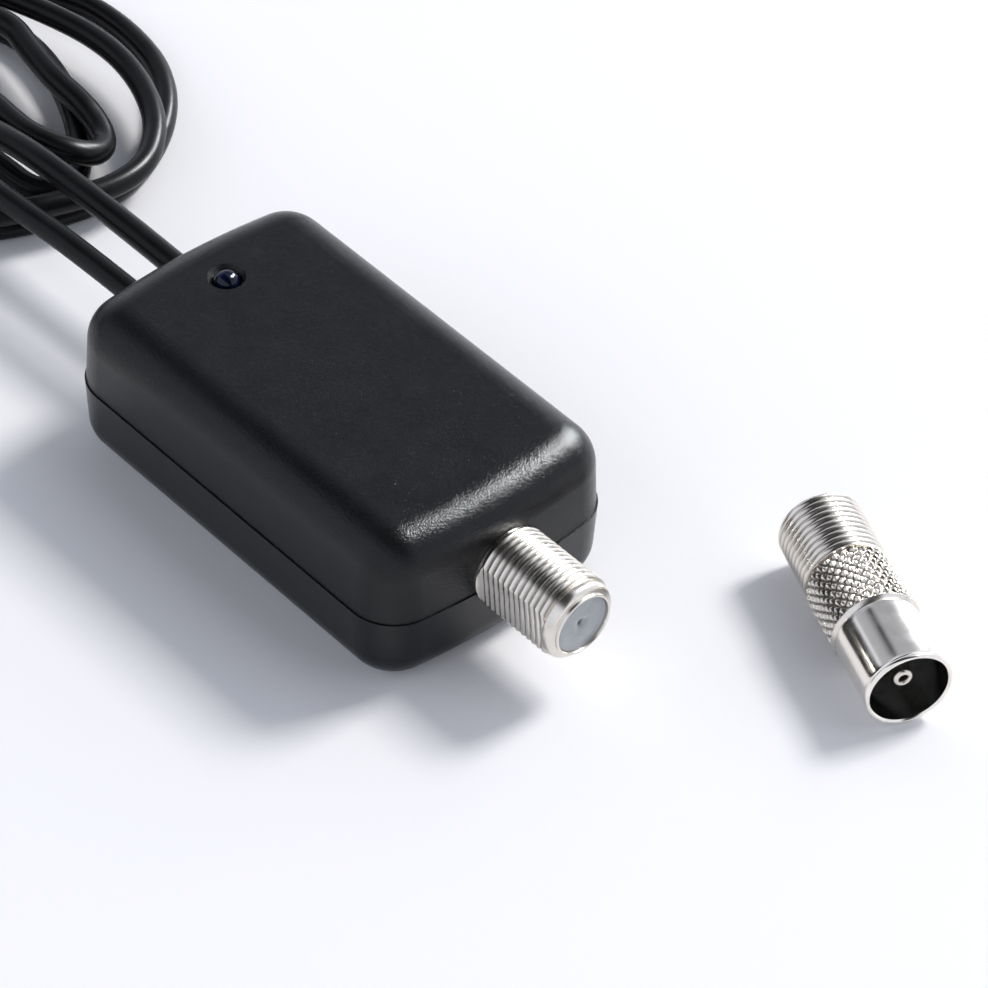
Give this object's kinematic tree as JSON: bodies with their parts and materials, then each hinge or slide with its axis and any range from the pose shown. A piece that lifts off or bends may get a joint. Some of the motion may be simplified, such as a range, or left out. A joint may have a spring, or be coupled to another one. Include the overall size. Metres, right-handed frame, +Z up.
{
  "type": "aerial signal amplifier",
  "caption": "Small rounded case with a threaded F socket at one end, two leads wound in a tied hank at the other, and a separate F to coaxial plug adapter.",
  "frame": {"origin": "on the surface that the part lies on, under the middle of the case", "axes": "+X towards the F socket, along the case's long axis; +Z up, from the base to the lamp"},
  "size_m": [0.2341, 0.0651, 0.0195],
  "materials": {
    "black_plastic": "satin, fine grain",
    "board": "satin",
    "lens": "gloss",
    "nickel": "bright nickel",
    "tin": "satin",
    "brass": "satin",
    "copper": "satin",
    "white_plastic": "frosted",
    "chip_black": "matt",
    "ferrite": "matt",
    "ceramic": "matt",
    "jacket": "satin",
    "tie": "satin"
  },
  "bodies": {
    "amplifier": {"top_cover": "black_plastic", "bottom_cover": "black_plastic", "circuit_board": "board", "lamp_lens": "lens", "lamp_legs": "tin", "f_socket_body": "nickel", "f_socket_insulator": "white_plastic", "f_socket_contact": "brass", "amplifier_chip": "chip_black", "regulator_chip": "chip_black", "can_capacitor": "tin", "inductor": "ferrite", "chip_capacitors": "ceramic", "chip_resistors": "chip_black", "coax_core": "copper", "power_wires": "copper", "coax_collar": "tin", "power_collar": "tin", "coax_lead": "jacket", "power_lead": "jacket", "coax_hank": "jacket", "power_hank": "jacket", "hank_tie": "tie", "f_plug_grip": "jacket", "f_plug_body": "nickel", "f_plug_insulator": "white_plastic", "f_plug_pin": "copper", "power_plug_grip": "jacket", "power_plug_shell": "nickel", "power_plug_tongue": "white_plastic", "power_plug_contacts": "brass"},
    "coupling_nut": {"f_plug_nut": "nickel"},
    "adapter": {"adapter_body": "nickel", "adapter_sleeve": "nickel", "adapter_socket_insulator": "white_plastic", "adapter_spacer": "white_plastic", "adapter_pin": "nickel"}
  },
  "joints": [
    {"name": "nut_turn", "type": "hinge", "parent": "amplifier", "child": "coupling_nut", "pos_m": [-0.12315, -0.0216, 0.0065], "axis": [1, 0, 0], "continuous": true},
    {"name": "adapter_lift", "type": "slide", "parent": "amplifier", "child": "adapter", "axis": [0, 0, 1], "range_m": [0, 0.04]}
  ]
}
